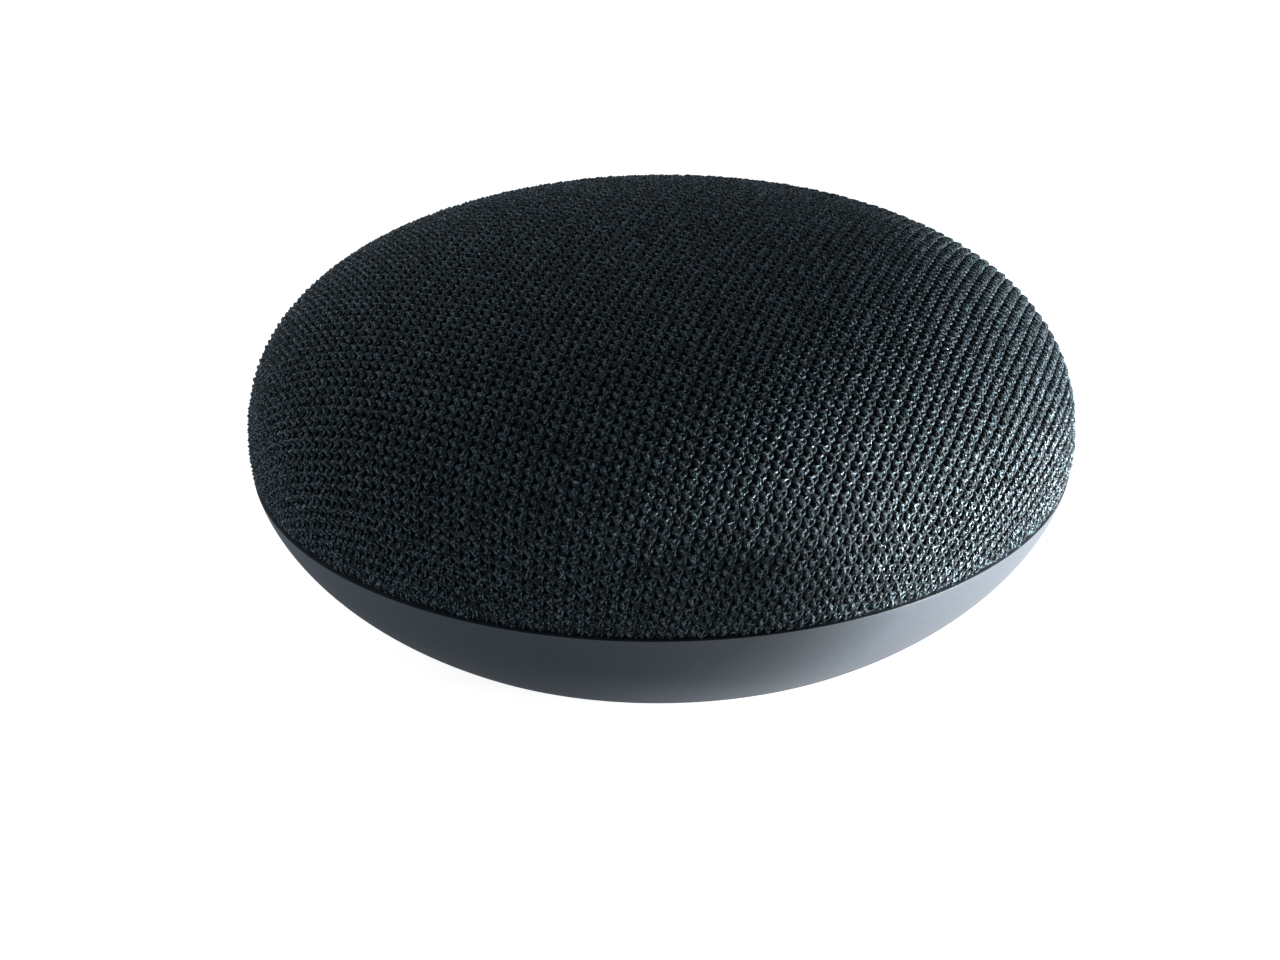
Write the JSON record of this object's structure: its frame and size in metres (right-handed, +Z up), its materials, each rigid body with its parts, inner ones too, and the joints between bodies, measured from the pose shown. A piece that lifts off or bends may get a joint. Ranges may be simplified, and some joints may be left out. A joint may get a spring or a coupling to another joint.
{
  "type": "smart home hub",
  "caption": "Small round hub with a loudspeaker: knitted fabric dome over a satin moulded bowl, flat non-slip foot, rear power port and mute slider.",
  "frame": {"origin": "centre of the foot's underside, on the surface it stands on", "axes": "+Z up, -Y the front, +Y the rear with the power port, +X the right side seen from the front"},
  "size_m": [0.098, 0.098, 0.042],
  "materials": {
    "charcoal_fabric": "knitted polyester, matt with fine glints",
    "slate_plastic": "fine satin texture",
    "black_plastic": "moulded, satin",
    "foot_silicone": "matt non-slip silicone",
    "cast_aluminium": "die-cast, bead-blasted",
    "steel": "zinc-plated",
    "shield_tin": "tin-plated sheet",
    "copper": "bare and lacquered copper",
    "board_green": "solder mask over glass epoxy",
    "chip_black": "moulded epoxy",
    "white_plastic": "satin",
    "clear_guide": "frosted light guide",
    "ferrite": "sintered, matt",
    "cone_paper": "pressed pulp, matt",
    "black_rubber": "matt",
    "spider_cloth": "impregnated corrugated cloth",
    "foam_grey": "soft pad"
  },
  "bodies": {
    "case": {"fabric_cover": "charcoal_fabric", "top_shell": "black_plastic", "bottom_shell": "slate_plastic", "foot_pad": "foot_silicone", "reset_switch": "black_plastic", "mute_switch": "steel", "input_board": "board_green", "power_socket": "steel", "ribbon_socket_lower": "white_plastic", "heat_sink": "cast_aluminium", "main_board": "board_green", "processor": "chip_black", "thermal_pad": "foam_grey", "memory_chip": "chip_black", "wifi_shield": "shield_tin", "amplifier_chip": "chip_black", "power_coil": "ferrite", "capacitor": "steel", "speaker_plug": "white_plastic", "ribbon_socket_upper": "white_plastic", "ribbon_cable": "white_plastic", "microphone_left": "shield_tin", "microphone_boot_left": "black_rubber", "microphone_right": "shield_tin", "microphone_boot_right": "black_rubber", "touch_pad_left": "copper", "touch_pad_right": "copper", "aerial_front": "copper", "aerial_rear": "copper", "light_board": "board_green", "light_1": "white_plastic", "light_2": "white_plastic", "light_3": "white_plastic", "light_4": "white_plastic", "light_guide": "clear_guide", "light_flex": "copper", "speaker_box": "black_plastic", "speaker_gasket": "foam_grey", "speaker_frame": "steel", "speaker_yoke": "steel", "speaker_magnet": "ferrite", "speaker_front_plate": "steel", "speaker_spider": "spider_cloth", "cone_surround": "black_rubber", "speaker_lead": "black_rubber", "case_screw_1": "steel", "case_screw_2": "steel", "case_screw_3": "steel", "case_screw_4": "steel", "board_screw_1": "steel", "board_screw_2": "steel", "board_screw_3": "steel", "input_screw_1": "steel", "input_screw_2": "steel"},
    "cone": {"speaker_cone": "cone_paper", "dust_cap": "cone_paper", "voice_coil": "copper"},
    "mute_knob": {"mute_slider": "slate_plastic", "mute_lever": "black_plastic"},
    "reset_key": {"reset_button": "slate_plastic"}
  },
  "joints": [
    {"name": "mute_slide", "type": "slide", "parent": "case", "child": "mute_knob", "axis": [0.891, -0.454, 0], "range_m": [0, 0.002]},
    {"name": "reset_press", "type": "slide", "parent": "case", "child": "reset_key", "axis": [0, 0, 1], "range_m": [0, 0.0004], "stiffness_N_per_m": 1500},
    {"name": "cone_travel", "type": "slide", "parent": "case", "child": "cone", "axis": [0, 0, 1], "range_m": [-0.0015, 0.0015], "stiffness_N_per_m": 1200, "deforming": ["cone_surround", "speaker_spider"]}
  ]
}
